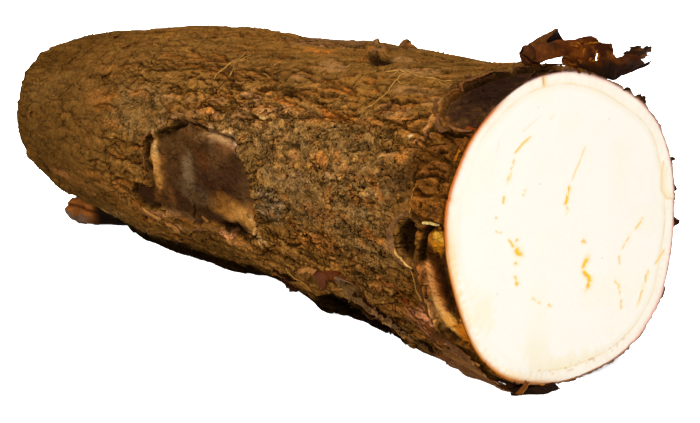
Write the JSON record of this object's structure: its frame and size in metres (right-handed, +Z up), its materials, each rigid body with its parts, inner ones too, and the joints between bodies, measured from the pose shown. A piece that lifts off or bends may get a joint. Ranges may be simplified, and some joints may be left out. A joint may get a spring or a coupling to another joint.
{
  "type": "cassava root",
  "caption": "Stout cassava root, cut square across at one end to show its pale flesh, in rough brown bark with loose dry scrolls.",
  "frame": {"origin": "on the surface that the root lies on, below the middle of its box", "axes": "+X along the root towards its cut face, +Z up; the root lies on its flattened underside"},
  "size_m": [0.3098, 0.0859, 0.0909],
  "materials": {
    "bark": "rough corky root bark, soil-dusted, dark in its cracks and orange-brown at its broken edges",
    "flesh": "moist starchy cut flesh, off-white, with yellow-orange vascular streaks",
    "loose_bark": "dry papery peeled bark, reddish brown, slightly glossy",
    "rootlet": "thin dry yellow-brown root fibre"
  },
  "bodies": {
    "root": {"cassava_root": "bark", "bark_scroll": "loose_bark", "bark_roll": "loose_bark", "bark_flake_top": "loose_bark", "bark_curl_bottom": "loose_bark", "bark_flake_far": "loose_bark", "rootlet_upper": "rootlet", "rootlet_lower": "rootlet"}
  },
  "joints": []
}
